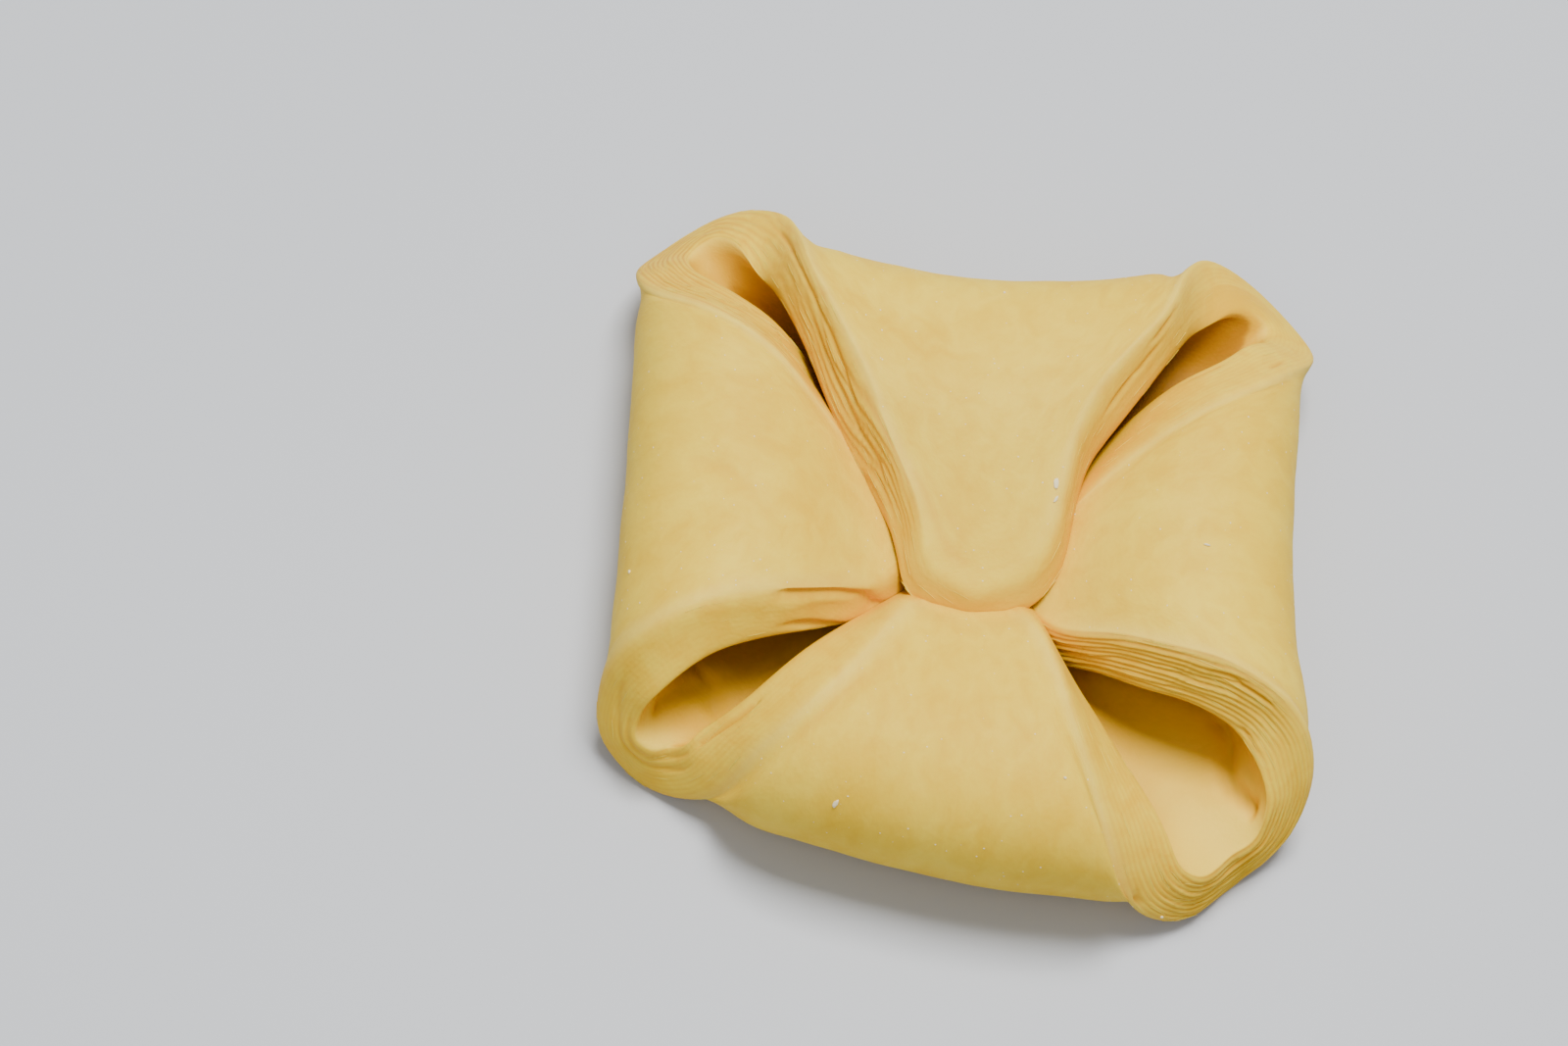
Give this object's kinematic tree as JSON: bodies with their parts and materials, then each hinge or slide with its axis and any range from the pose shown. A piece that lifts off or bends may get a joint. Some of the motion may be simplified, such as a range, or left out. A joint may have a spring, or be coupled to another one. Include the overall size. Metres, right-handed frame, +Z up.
{
  "type": "unbaked danish pastry",
  "caption": "Raw danish pastry: a square of layered dough with its four corners folded in to overlap at the middle, leaving open curled mouths at the corners.",
  "frame": {"origin": "middle of the bounding box, at the flat base that the pastry rests on", "axes": "+Z up from the base; +Y towards the side whose flap lies on top of the others; +X towards the right side as seen from -Y"},
  "size_m": [0.0934, 0.0934, 0.0262],
  "materials": {
    "dough": "soft satin, raw buttery dough"
  },
  "bodies": {
    "root": {"dough": "dough"}
  },
  "joints": []
}
